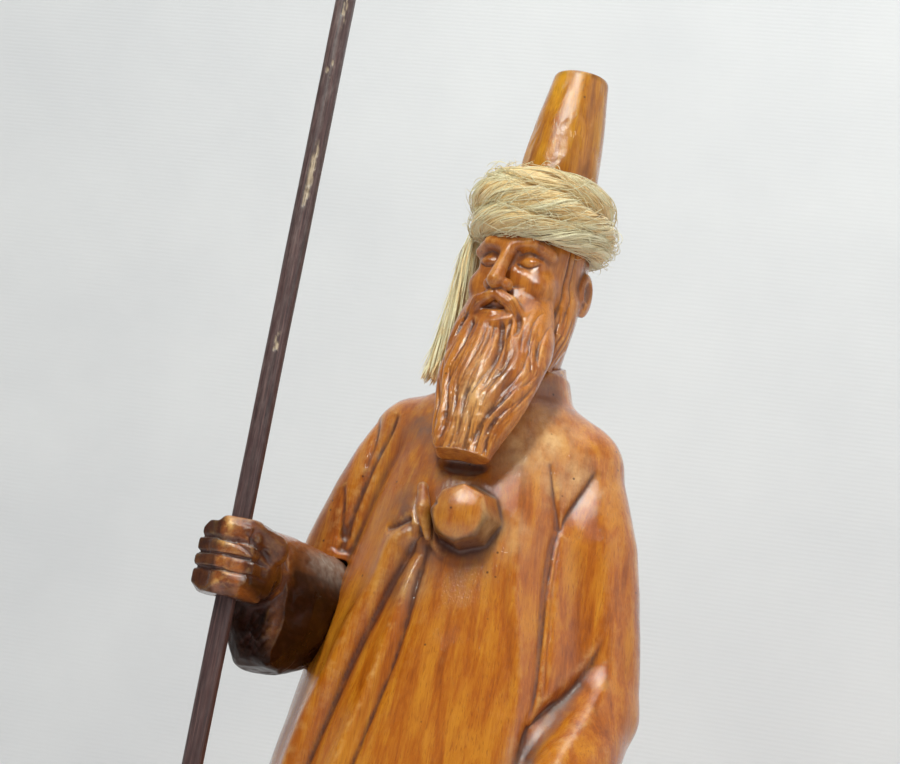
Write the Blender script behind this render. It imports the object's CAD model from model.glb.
import math

import bpy
import numpy as np
from mathutils import Matrix, Vector


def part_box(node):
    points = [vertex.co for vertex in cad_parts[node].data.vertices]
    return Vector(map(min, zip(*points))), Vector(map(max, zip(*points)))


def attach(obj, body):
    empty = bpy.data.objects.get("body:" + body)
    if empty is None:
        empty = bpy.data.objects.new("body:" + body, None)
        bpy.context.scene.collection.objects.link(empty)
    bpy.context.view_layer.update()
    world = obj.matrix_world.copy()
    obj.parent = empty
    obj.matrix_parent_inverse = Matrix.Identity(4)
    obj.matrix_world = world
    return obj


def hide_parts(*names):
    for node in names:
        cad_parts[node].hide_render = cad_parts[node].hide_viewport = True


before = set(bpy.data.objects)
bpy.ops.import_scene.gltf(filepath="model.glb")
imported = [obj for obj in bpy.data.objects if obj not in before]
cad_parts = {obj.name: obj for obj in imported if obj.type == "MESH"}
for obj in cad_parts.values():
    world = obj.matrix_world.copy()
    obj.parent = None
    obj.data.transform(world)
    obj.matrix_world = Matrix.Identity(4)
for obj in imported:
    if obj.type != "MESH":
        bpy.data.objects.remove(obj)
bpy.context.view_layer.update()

# Carved wooden elder with a staff. The wood is sculpted as signed-distance fields on grids, skinned to quad
# meshes and then scored and faceted vertex by vertex, as a knife would. Sculpting is in millimetres, in the
# frame of the CAD: +Z up, the figure faces -Y, its right hand at -X.

MM = 0.001
FAR = 100.0
COARSE = 1.0


def box_mm(node):
    """Lowest and highest corner of a CAD node, in millimetres."""
    low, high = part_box(node)
    return np.array(low) / MM, np.array(high) / MM


plinth_low, plinth_high = box_mm("plinth")
staff_low, staff_high = box_mm("staff")
PLINTH_TOP = plinth_high[2]
COLLAR, CAP_SEAT, CAP_TOP = (box_mm(node)[1][2] for node in ("carved_body", "head", "cap"))
STAFF_X, STAFF_Y = (staff_low[:2] + staff_high[:2]) / 2
STAFF_R = (staff_high[0] - staff_low[0]) / 2
ELBOW_Z = 220.0
FIST_BACK = -40.5
FINGER_BACK = -45.0
FOLD_FOOT = 14.0
BEARD_END = 243.0
HEAD_TURN = math.radians(-10)
HEAD_X = 1.0
TUBE_GUIDE = (0.31, 0.17, 0.93)


# ---------------------------------------------------------------- soft masks
def rise(value, start, width):
    """0 at start and 1 a width further on; with a width below zero it rises downwards."""
    return np.clip((value - start) / width, 0, 1)


def bell(points, centre, reach):
    """1 at a centre and fading round it; reach is one length, or one for each axis."""
    return np.exp(-(((points - centre) / reach) ** 2).sum(axis=1))


# ---------------------------------------------------------------- clay: distance fields on a grid
def smooth_min(a, b, soft):
    if soft <= 0:
        return np.minimum(a, b)
    blend = np.clip(0.5 + 0.5 * (b - a) / soft, 0, 1)
    return b + (a - b) * blend - soft * blend * (1 - blend)


class Clay:
    """A signed-distance field over a box of grid points, below zero inside the wood."""

    def __init__(self, xs, ys, zs):
        self.axes = [np.asarray(axis, np.float32) for axis in (xs, ys, zs)]
        self.field = np.full([len(axis) for axis in self.axes], FAR, np.float32)

    def window(self, low, high):
        """Slices of the grid between two corners, and the coordinates there, ready to broadcast."""
        slices, grids = [], []
        for n, axis in enumerate(self.axes):
            first = max(int(np.searchsorted(axis, low[n])) - 1, 0)
            last = min(int(np.searchsorted(axis, high[n])) + 1, len(axis))
            shape = [1, 1, 1]
            shape[n] = last - first
            slices.append(slice(first, last))
            grids.append(axis[first:last].reshape(shape))
        return tuple(slices), grids

    def blend(self, shape, soft, margin, sign):
        low, high, distance = shape
        where, grids = self.window(np.array(low) - soft - margin, np.array(high) + soft + margin)
        self.field[where] = sign * smooth_min(sign * self.field[where], distance(*grids), soft)

    def add(self, shape, soft=0.0, margin=4.0):
        """Joins a shape on with a fillet of about soft; margin widens the part of the grid that is worked."""
        self.blend(shape, soft, margin, 1)

    def cut(self, shape, soft=0.0, margin=4.0):
        """Takes a shape away."""
        self.blend(shape, soft, margin, -1)


def ruler(start, end, step):
    return np.arange(start, end + step * COARSE, step * COARSE, dtype=np.float32)


def joined(*parts):
    """Rulers end to end, without marks that overlap."""
    marks = parts[0]
    for part in parts[1:]:
        marks = np.concatenate([marks, part[part > marks[-1] + 0.2]])
    return marks


def ball(centre, radii):
    """Ellipsoid."""
    centre, radii = np.array(centre, float), np.array(radii, float)

    def distance(x, y, z):
        px, py, pz = x - centre[0], y - centre[1], z - centre[2]
        near = np.sqrt((px / radii[0]) ** 2 + (py / radii[1]) ** 2 + (pz / radii[2]) ** 2)
        steep = np.sqrt((px / radii[0] ** 2) ** 2 + (py / radii[1] ** 2) ** 2 + (pz / radii[2] ** 2) ** 2)
        return near * (near - 1) / np.maximum(steep, 1e-4)

    return centre - radii, centre + radii, distance


def bone(a, b, radius_a, radius_b):
    """Rod from a to b with round ends, its radius changing along it."""
    a, b = np.array(a, float), np.array(b, float)
    along = b - a
    length2 = float(along @ along)
    big = max(radius_a, radius_b)

    def distance(x, y, z):
        px, py, pz = x - a[0], y - a[1], z - a[2]
        t = np.clip((px * along[0] + py * along[1] + pz * along[2]) / length2, 0, 1)
        gap = np.sqrt((px - t * along[0]) ** 2 + (py - t * along[1]) ** 2 + (pz - t * along[2]) ** 2)
        return gap - (radius_a + (radius_b - radius_a) * t)

    return np.minimum(a, b) - big, np.maximum(a, b) + big, distance


def limb(points, radii):
    """Bent rod through points, its radius changing from one to the next."""
    parts = [bone(points[i], points[i + 1], radii[i], radii[i + 1]) for i in range(len(points) - 1)]
    low = np.min([part[0] for part in parts], axis=0)
    high = np.max([part[1] for part in parts], axis=0)

    def distance(x, y, z):
        nearest = parts[0][2](x, y, z)
        for part in parts[1:]:
            nearest = np.minimum(nearest, part[2](x, y, z))
        return nearest

    return low, high, distance


def block(centre, half, rounding, turn=(0, 0, 0)):
    """Box with rounded edges, turned by angles in degrees about X, Y, Z."""
    centre, half = np.array(centre, float), np.array(half, float) - rounding
    rx, ry, rz = np.radians(turn)
    about_x = np.array([[1, 0, 0], [0, math.cos(rx), -math.sin(rx)], [0, math.sin(rx), math.cos(rx)]])
    about_y = np.array([[math.cos(ry), 0, math.sin(ry)], [0, 1, 0], [-math.sin(ry), 0, math.cos(ry)]])
    about_z = np.array([[math.cos(rz), -math.sin(rz), 0], [math.sin(rz), math.cos(rz), 0], [0, 0, 1]])
    basis = about_z @ about_y @ about_x
    reach = float(np.linalg.norm(half)) + rounding

    def distance(x, y, z):
        p = (x - centre[0], y - centre[1], z - centre[2])
        out = []
        for n in range(3):
            out.append(np.abs(p[0] * basis[0, n] + p[1] * basis[1, n] + p[2] * basis[2, n]) - half[n])
        beyond = np.sqrt(sum(np.maximum(gap, 0) ** 2 for gap in out))
        within = np.minimum(np.maximum(np.maximum(out[0], out[1]), out[2]), 0)
        return beyond + within - rounding

    return centre - reach, centre + reach, distance


def stack(rows, along=2, smooth=2.5):
    """Loft through ovals: rows of (place along the axis, half a, half b, centre a, centre b)."""
    rows = np.array(rows, float)
    others = [n for n in range(3) if n != along]
    step, beyond_ends = 0.5, 20
    fine = np.arange(rows[0, 0] - beyond_ends, rows[-1, 0] + beyond_ends, step)
    reach = max(int(smooth / step), 1)
    weights = np.exp(-0.5 * (np.arange(-3 * reach, 3 * reach + 1) / reach) ** 2)
    weights /= weights.sum()
    columns = []
    for n in range(1, 5):
        straight = np.interp(fine, rows[:, 0], rows[:, n])
        padded = np.pad(straight, 3 * reach, mode="edge")
        columns.append(np.convolve(padded, weights, mode="valid"))
    low, high = np.zeros(3), np.zeros(3)
    low[along], high[along] = rows[0, 0], rows[-1, 0]
    for n, side in enumerate(others):
        low[side] = (rows[:, 3 + n] - rows[:, 1 + n]).min()
        high[side] = (rows[:, 3 + n] + rows[:, 1 + n]).max()

    def distance(x, y, z):
        p = (x, y, z)
        t = p[along]
        half_a, half_b, mid_a, mid_b = (np.interp(t, fine, column).astype(np.float32) for column in columns)
        pa, pb = p[others[0]] - mid_a, p[others[1]] - mid_b
        near = np.sqrt((pa / half_a) ** 2 + (pb / half_b) ** 2)
        steep = np.sqrt((pa / half_a**2) ** 2 + (pb / half_b**2) ** 2)
        side = near * (near - 1) / np.maximum(steep, 1e-4)
        ends = np.maximum(rows[0, 0] - t, t - rows[-1, 0])
        return np.maximum(side, ends)

    return low, high, distance


def boss(centre, radius, front, back, taper, sides=8, bulge=0.042, soft=0.9):
    """Many-sided button facing -Y: front and back are its ends along Y, taper its growth towards the back."""
    angles = 2 * np.pi * (np.arange(sides) + 0.5) / sides

    def distance(x, y, z):
        px, pz = x - centre[0], z - centre[1]
        rim = radius + taper * (y - front)
        side = -FAR
        for angle in angles:
            side = np.maximum(side, px * math.cos(angle) + pz * math.sin(angle) - rim)
        dome = front + bulge * (px**2 + pz**2) - y
        return np.maximum(-smooth_min(-side, -dome, soft), y - back)

    reach = radius + taper * (back - front)
    low, high = (centre[0] - reach, front, centre[1] - reach), (centre[0] + reach, back, centre[1] + reach)
    return low, high, distance


def upright_hole(x0, y0, low_z, high_z, radius):
    """Cylinder standing along Z."""

    def distance(x, y, z):
        side = np.sqrt((x - x0) ** 2 + (y - y0) ** 2) - radius
        return np.maximum(side, np.maximum(low_z - z, z - high_z))

    return (x0 - radius, y0 - radius, low_z), (x0 + radius, y0 + radius, high_z), distance


def half_space(point, normal, low, high):
    """Everything beyond a plane, inside a window between two corners."""
    point, normal = np.array(point, float), np.array(normal, float)
    normal = normal / np.linalg.norm(normal)

    def distance(x, y, z):
        return (point[0] - x) * normal[0] + (point[1] - y) * normal[1] + (point[2] - z) * normal[2]

    return low, high, distance


# ---------------------------------------------------------------- skin: field to quads
CORNERS = np.array([(i, j, k) for i in (0, 1) for j in (0, 1) for k in (0, 1)])
CELL_EDGES = [(a, b) for a in range(8) for b in range(a + 1, 8) if np.abs(CORNERS[a] - CORNERS[b]).sum() == 1]


def corner_weight(part, corner):
    """Share of one corner of a cell, at points given by their place along each side of it."""
    weight = 1
    for along, far in zip(part, corner):
        weight = weight * (along if far else 1 - along)
    return weight


def sample(clay, points):
    """Field at points, between the grid marks."""
    index, part = [], []
    for n, axis in enumerate(clay.axes):
        i = np.clip(np.searchsorted(axis, points[:, n]) - 1, 0, len(axis) - 2)
        index.append(i)
        part.append((points[:, n] - axis[i]) / (axis[i + 1] - axis[i]))
    value = 0
    for i, j, k in CORNERS:
        value = value + corner_weight(part, (i, j, k)) * clay.field[index[0] + i, index[1] + j, index[2] + k]
    return value


def skin(clay, settle=2):
    """Vertices and quads of the field's zero surface, one vertex in each crossed cell, drawn onto it."""
    field = clay.field
    inside = field < 0
    count = np.zeros([n - 1 for n in field.shape], np.uint8)
    for i, j, k in CORNERS:
        count += inside[i : i + count.shape[0], j : j + count.shape[1], k : k + count.shape[2]]
    active = (count > 0) & (count < 8)
    cells = np.argwhere(active)
    number = np.full(active.shape, -1, np.int32)
    number[active] = np.arange(len(cells), dtype=np.int32)
    corner = [field[cells[:, 0] + i, cells[:, 1] + j, cells[:, 2] + k] for i, j, k in CORNERS]
    total, hits = np.zeros((len(cells), 3)), np.zeros(len(cells))
    for a, b in CELL_EDGES:
        crossed = (corner[a] < 0) != (corner[b] < 0)
        t = np.where(crossed, corner[a] / np.where(crossed, corner[a] - corner[b], 1), 0)
        total += crossed[:, None] * (CORNERS[a] + t[:, None] * (CORNERS[b] - CORNERS[a]))
        hits += crossed
    place = cells + total / hits[:, None]
    vertices = np.stack(
        [np.interp(place[:, n], np.arange(len(axis)), axis) for n, axis in enumerate(clay.axes)], axis=1
    )
    quads = []
    for n in range(3):
        u, v = (n + 1) % 3, (n + 2) % 3
        low, high, trim = ([slice(None)] * 3 for _ in range(3))
        low[n], high[n] = slice(None, -1), slice(1, None)
        trim[u] = trim[v] = slice(1, -1)
        change = inside[tuple(low)] != inside[tuple(high)]
        found = np.argwhere(change[tuple(trim)])
        found[:, u] += 1
        found[:, v] += 1
        outward = inside[found[:, 0], found[:, 1], found[:, 2]]
        ring = []
        for du, dv in ((-1, -1), (0, -1), (0, 0), (-1, 0)):
            cell = found.copy()
            cell[:, u] += du
            cell[:, v] += dv
            ring.append(number[cell[:, 0], cell[:, 1], cell[:, 2]])
        ring = np.stack(ring, axis=1)
        ring[~outward] = ring[~outward][:, ::-1]
        quads.append(ring)
    quads = np.concatenate(quads)
    step = 0.5 * float(np.mean([axis[1] - axis[0] for axis in clay.axes]))
    for _ in range(settle):
        value = sample(clay, vertices)
        ways = step * np.eye(3)
        rises = [sample(clay, vertices + way) - sample(clay, vertices - way) for way in ways]
        slope = np.stack(rises, axis=1) / (2 * step)
        steep = np.maximum((slope**2).sum(1), 0.2)
        move = np.clip(value / steep, -step, step)
        vertices = vertices - slope * move[:, None]
    return Surface(vertices, quads)


def smooth_noise(points, size, seed):
    """Soft value noise from 0 to 1, about one bump per size."""
    rng = np.random.default_rng(seed)
    table = rng.random(4096).astype(np.float32)
    p = points / size
    base = np.floor(p).astype(np.int64)
    part = p - base
    part = part * part * (3 - 2 * part)
    value = 0
    for i, j, k in CORNERS:
        spot = (base[:, 0] + i) * 73856093 ^ (base[:, 1] + j) * 19349663 ^ (base[:, 2] + k) * 83492791
        value = value + corner_weight(part.T, (i, j, k)) * table[spot & (len(table) - 1)]
    return value


def line_gap(line, p):
    """Distance of points p to a line, the side (+1 to its left) and the place along it."""
    lengths = np.linalg.norm(np.diff(line, axis=0), axis=1)
    before = np.concatenate([[0], np.cumsum(lengths)])
    best = np.full(len(p), 1e9)
    side, place = np.zeros(len(p)), np.zeros(len(p))
    for i in range(len(line) - 1):
        along = line[i + 1] - line[i]
        rel = p - line[i]
        t = np.clip(rel @ along / (along @ along), 0, 1)
        gap = rel - t[:, None] * along
        dist = np.linalg.norm(gap, axis=1)
        closer = dist < best
        best[closer] = dist[closer]
        cross = along[0] * rel[:, 1] - along[1] * rel[:, 0]
        side[closer] = np.sign(cross)[closer]
        place[closer] = (before[i] + t * lengths[i])[closer]
    return best, side, place / before[-1]


class Surface:
    """A quad mesh in numpy, with the moves of a carver's knife."""

    def __init__(self, vertices, quads):
        used = np.unique(quads)
        number = np.full(len(vertices), -1, np.int64)
        number[used] = np.arange(len(used))
        self.v = vertices[used]
        self.quads = number[quads]
        edges = np.concatenate([self.quads[:, [i, (i + 1) % 4]] for i in range(4)])
        self.edges = np.concatenate([edges, edges[:, ::-1]])
        self.degree = np.bincount(self.edges[:, 0], minlength=len(self.v))

    def neighbour_mean(self, values):
        out = np.empty_like(values)
        for n in range(values.shape[1]):
            out[:, n] = np.bincount(self.edges[:, 0], values[self.edges[:, 1], n], len(self.v))
        return out / self.degree[:, None]

    def relax(self, times, share=0.5):
        for _ in range(times):
            self.v = self.v + share * (self.neighbour_mean(self.v) - self.v)

    def normals(self):
        a = self.v[self.quads[:, 2]] - self.v[self.quads[:, 0]]
        b = self.v[self.quads[:, 3]] - self.v[self.quads[:, 1]]
        face = np.cross(a, b)
        total = np.zeros_like(self.v)
        for n in range(3):
            for i in range(4):
                total[:, n] += np.bincount(self.quads[:, i], face[:, n], len(self.v))
        return unit(total)

    def hollow(self, times):
        """How far each vertex lies below its smoothed neighbourhood: above zero in grooves."""
        smooth = self.v
        for _ in range(times):
            smooth = smooth + 0.6 * (self.neighbour_mean(smooth) - smooth)
        return ((smooth - self.v) * self.normals()).sum(1)

    def knife_cuts(self, count, depth, reach, seed, keep=None):
        """Small flat cuts: each shaves a shallow cap off round a random vertex."""
        rng = np.random.default_rng(seed)
        normals = self.normals()
        pool = np.arange(len(self.v)) if keep is None else np.flatnonzero(keep)
        for pick in rng.choice(pool, count):
            centre, normal = self.v[pick], normals[pick]
            normal = normal + rng.normal(0, 0.05, 3)
            normal /= np.linalg.norm(normal)
            near = np.flatnonzero(np.abs(self.v - centre).max(1) < reach)
            if keep is not None:
                near = near[keep[near]]
            offset = self.v[near] - centre
            size = depth * rng.uniform(0.5, 1.3)
            height = offset @ normal + size
            radius = np.linalg.norm(offset, axis=1)
            cut = np.where((height > 0) & (radius < reach), height, 0)
            cut = np.clip(3.0 * size - cut, 0, cut)
            cut *= rise(radius, reach, -0.45 * reach)
            cut *= rise(normals[near] @ normal, 0.80, 0.12)
            self.v[near] -= normal * cut[:, None]

    def score(self, line, depth, left, right, where=None, fade=(0.12, 0.12), columns=(0, 2), normals=None,
              power=1.0, taper=0.5):
        """A knife line seen from the front: deepest on the line, rising over left and right of it."""
        line = rounded(line)
        reach = 4.0 * max(left, right)
        p = self.v[:, list(columns)]
        near = ((p > line.min(0) - reach) & (p < line.max(0) + reach)).all(1)
        if where is not None:
            near &= where > 0
        near = np.flatnonzero(near)
        dist, side, place = line_gap(line, p[near])
        width = np.where(side > 0, left, right)
        profile = np.exp(-((dist / width) ** power))
        ends = rise(place, 0, max(fade[0], 1e-6)) * rise(place, 1, -max(fade[1], 1e-6))
        amount = depth * profile * ends**taper
        if where is not None:
            amount = amount * where[near]
        normals = self.normals() if normals is None else normals
        self.v[near] -= normals[near] * amount[:, None]


def rounded(points, steps=6):
    """The points joined by a smooth curve (Catmull-Rom)."""
    points = np.array(points, float)
    if len(points) < 3:
        return points
    padded = np.concatenate([[2 * points[0] - points[1]], points, [2 * points[-1] - points[-2]]])
    out = []
    for i in range(1, len(padded) - 2):
        p0, p1, p2, p3 = padded[i - 1 : i + 3]
        for t in np.linspace(0, 1, steps, endpoint=False):
            square = (2 * p0 - 5 * p1 + 4 * p2 - p3) * t**2
            cube = (3 * p1 - p0 - 3 * p2 + p3) * t**3
            out.append(0.5 * (2 * p1 + (p2 - p0) * t + square + cube))
    out.append(padded[-2])
    return np.array(out)


def make_object(name, vertices, faces, material, body, replaces, attributes):
    """Smooth-shaded Blender object from vertices in mm and faces of equal size, standing in for CAD nodes."""
    faces = np.asarray(faces, np.int32)
    mesh = bpy.data.meshes.new(name)
    mesh.vertices.add(len(vertices))
    mesh.vertices.foreach_set("co", (np.asarray(vertices, np.float32) * MM).ravel())
    mesh.loops.add(faces.size)
    mesh.loops.foreach_set("vertex_index", faces.ravel())
    mesh.polygons.add(len(faces))
    mesh.polygons.foreach_set("loop_start", np.arange(0, faces.size, faces.shape[1], dtype=np.int32))
    mesh.polygons.foreach_set("use_smooth", np.full(len(faces), True))
    mesh.update(calc_edges=True)
    mesh.validate()
    for key, values in attributes.items():
        layer = mesh.attributes.new(key, "FLOAT", "POINT")
        layer.data.foreach_set("value", np.asarray(values, np.float32))
    mesh.materials.append(material)
    piece = bpy.data.objects.new(name, mesh)
    bpy.context.scene.collection.objects.link(piece)
    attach(piece, body)
    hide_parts(*replaces)


def wood_object(name, surface, material, slot, replaces, fine=8, broad=60, worn=0.0, **marks):
    """Wood piece whose grooves, worn edges, stain, haze and dust are stored for its material."""
    quick_share = 1 / COARSE**2
    near = surface.hollow(max(int(fine * quick_share), 2))
    wide = surface.hollow(max(int(broad * quick_share), 4))
    groove = rise(near, 0, 0.10) * 0.6 + rise(wide, 0, 0.60) * 0.5
    edge = rise(near, 0, -0.08)
    attributes = {"groove": np.clip(groove, 0, 1), "edge": np.clip(edge + worn, 0, 2)}
    for key in ("stain", "haze", "dust", "clouded"):
        attributes[key] = np.broadcast_to(marks.get(key, 0.0), len(surface.v))
    make_object(name, surface.v, surface.quads, material, "figure", replaces, attributes)


# ---------------------------------------------------------------- right forearm and fist
def knuckle_bar(height, half, left, ridge, right, front):
    """Finger bent round the staff: a bar whose front turns at an upright ridge, its left side swept back.

    All are places in X, but for height and its half along Z, and front along Y.
    """
    outward = [np.array([math.sin(math.radians(turn)), -math.cos(math.radians(turn))]) for turn in (-32, 10)]

    def distance(x, y, z):
        px, py = x - ridge, y - front
        faces = [px * normal[0] + py * normal[1] for normal in outward]
        side = -smooth_min(-faces[0], -faces[1], 0.8)
        span = np.maximum(left - x + 0.25 * (y + 50), x - right)
        span = np.maximum(span, y - FINGER_BACK)
        sloped = np.abs(z - height + 0.05 * px) - half
        return -smooth_min(-np.maximum(side, span), -sloped, 0.9)

    return (left - 2, front - 1, height - half - 1), (right, FINGER_BACK, height + half + 1), distance


# height, half height, left end, knuckle ridge, right end and front of each finger, from the first down
FINGERS = [
    (216.6, 2.05, -50.4, -45.2, -38.6, -56.8),
    (212.85, 1.90, -51.0, -44.6, -36.8, -57.5),
    (209.25, 1.75, -51.4, -44.4, -36.2, -57.4),
    (204.9, 2.75, -51.9, -43.8, -37.4, -57.1),
]


def sculpt_forearm():
    clay = Clay(ruler(-57, -24, 0.31), ruler(-60, 16, 0.31), ruler(183, 224, 0.31))
    sleeve = [
        (-37.0, 8.6, 16.0, -43.0, 203.4),
        (-31.0, 10.4, 16.8, -41.6, 204.0),
        (-22.0, 11.4, 16.6, -40.4, 204.9),
        (-8.0, 10.4, 14.6, -38.2, 206.8),
        (5.0, 10.6, 11.6, -37.0, 208.8),
        (14.0, 8.5, 9.0, -36.6, 210.6),
    ]
    clay.add(stack(sleeve, along=1, smooth=3.0))
    # the cuff hangs lower behind the staff, its rim runs back towards the top
    clay.add(block((-43.3, -31.5, 203.8), (8.8, 8.9, 16.4), 6.0), 3.0)
    cuff_planes = [
        ((-48.0, -36, 193.8), (-0.88, -0.10, -0.47), 2.4),
        ((-44.5, -34, 188.7), (0.02, -0.10, -1.0), 1.6),
        ((-31.6, -24, 190.9), (0.62, -0.02, -0.78), 1.6),
        ((-40.0, -39.4, 195), (-0.45, -0.86, -0.24), 4.0),
    ]
    for point, normal, soft in cuff_planes:
        clay.cut(half_space(point, normal, (-60, -50, 180), (-24, -20, 228)), soft)
    # hollow of the cuff round the wrist
    clay.cut(ball((-43.6, -42.0, 203.4), (6.0, 4.0, 8.0)), 4.0)
    # wrist and palm
    clay.add(limb([(-40.8, -26, 208.5), (-41.5, -38, 209.5), (-42.5, -46, 210.0)], [7.0, 6.6, 7.6]), 1.2)
    clay.add(block((-43.6, -46.4, 210.4), (7.2, 6.0, 7.2), 2.6, (0, 0, -4)), 1.2)
    clay.add(block((-43.0, -45.0, 207.0), (5.2, 5.2, 3.6), 2.2, (10, 0, 0)), 1.0)
    # four fingers closed round the staff, each bent at the knuckle
    for finger in FINGERS:
        clay.add(knuckle_bar(*finger), 0.15)
    clay.add(block((-43.6, -50.0, 210.2), (7.0, 4.0, 7.4), 1.8, (0, 0, -6)), 0.2)
    # thumb lying across the first finger, worn at its tip
    thumb = [(-44.6, -54.0, 217.9), (-40.8, -52.0, 217.8), (-36.8, -45.5, 214.8)]
    clay.add(limb(thumb, [2.5, 3.2, 4.0]), 0.5)
    clay.cut(half_space((-41, -50, 220.6), (0.05, -0.12, 1.0), (-50, -60, 216), (-30, -38, 226)), 0.3)
    clay.cut(half_space((-42.5, -57.0, 217.6), (-0.25, -1.0, 0.25), (-48, -62, 214), (-34, -50, 222)), 0.3)
    # blunt knife cuts round the bottom of the fist and at its top corner
    fist_planes = [
        ((-50.8, -52, 203.4), (-0.60, -0.30, -0.74), 0.2),
        ((-43.0, -56, 204.0), (0.10, -0.60, -0.79), 0.2),
        ((-38.2, -52, 203.8), (0.66, -0.20, -0.72), 0.2),
        ((-42.0, -47, 201.9), (0.0, 0.1, -1.0), 0.4),
    ]
    for point, normal, soft in fist_planes:
        clay.cut(half_space(point, normal, (-56, -60, 198), (-30, -41.2, 207)), soft, 0.2)
    clay.cut(half_space((-50.6, -52, 218.0), (-0.74, -0.20, 0.64), (-56, -60, 212), (-42, -44, 222)), 0.3)
    # flat top at the elbow, where the forearm meets the upper arm
    clay.cut(half_space((0, 0, ELBOW_Z), (0, 0, 1), (-50, -9, 216), (-24, 16, 226)))
    clay.cut(half_space((-38, -20, 221.0), (0.1, 0.02, 1), (-56, -30, 216), (-24, 0, 226)), 0.8)
    clay.cut(upright_hole(STAFF_X, STAFF_Y, 190, 226, STAFF_R + 0.06))
    return clay


def sculpt_forearm_surface():
    surface = skin(sculpt_forearm())
    surface.relax(1, 0.4)
    _, y, z = surface.v.T
    on_sleeve = y > FIST_BACK
    surface.knife_cuts(120, 0.30, 6.0, 11, on_sleeve & (z < 219.0))
    # gouge marks at the foot of the cuff
    rng = np.random.default_rng(15)
    gouged = rise(y, -36.0, -2.0) * rise(z, 203.0, -2.0)
    for n in range(26):
        top_x, top_z = rng.uniform(-51, -35), rng.uniform(190, 203)
        line = [(top_x, top_z), (top_x - rng.uniform(0.5, 3.5), top_z - rng.uniform(2, 6))]
        surface.score(line, rng.uniform(0.25, 0.80), rng.uniform(0.5, 1.2), 1.0, gouged, (0.4, 0.4))
    rough = 0.22 * (smooth_noise(surface.v * [1, 0.5, 1], 1.3, 13) - 0.5)
    surface.v += surface.normals() * (on_sleeve * rough)[:, None]
    surface.knife_cuts(60, 0.16, 3.0, 12, y <= FIST_BACK)
    # lines between the fingers, then two creases of the thumb
    forward = rise(y, -46.0, -2.0)
    for height in (214.7, 211.05, 207.6):
        line = [(-55.0, height + 0.5), (-48, height + 0.15), (-43, height - 0.1), (-35.6, height - 0.5)]
        surface.score(line, 0.7, 0.30, 0.30, forward, (0.0, 0.08))
    thumb_line = [(-46.2, 214.6), (-41.5, 213.9), (-38.2, 212.4), (-35.6, 210.0)]
    for line in (thumb_line, [(-39.6, 216.6), (-37.2, 214.0), (-35.4, 211.4)]):
        surface.score(line, 0.6, 0.3, 0.4, forward, (0.1, 0.3))
    return surface


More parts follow.
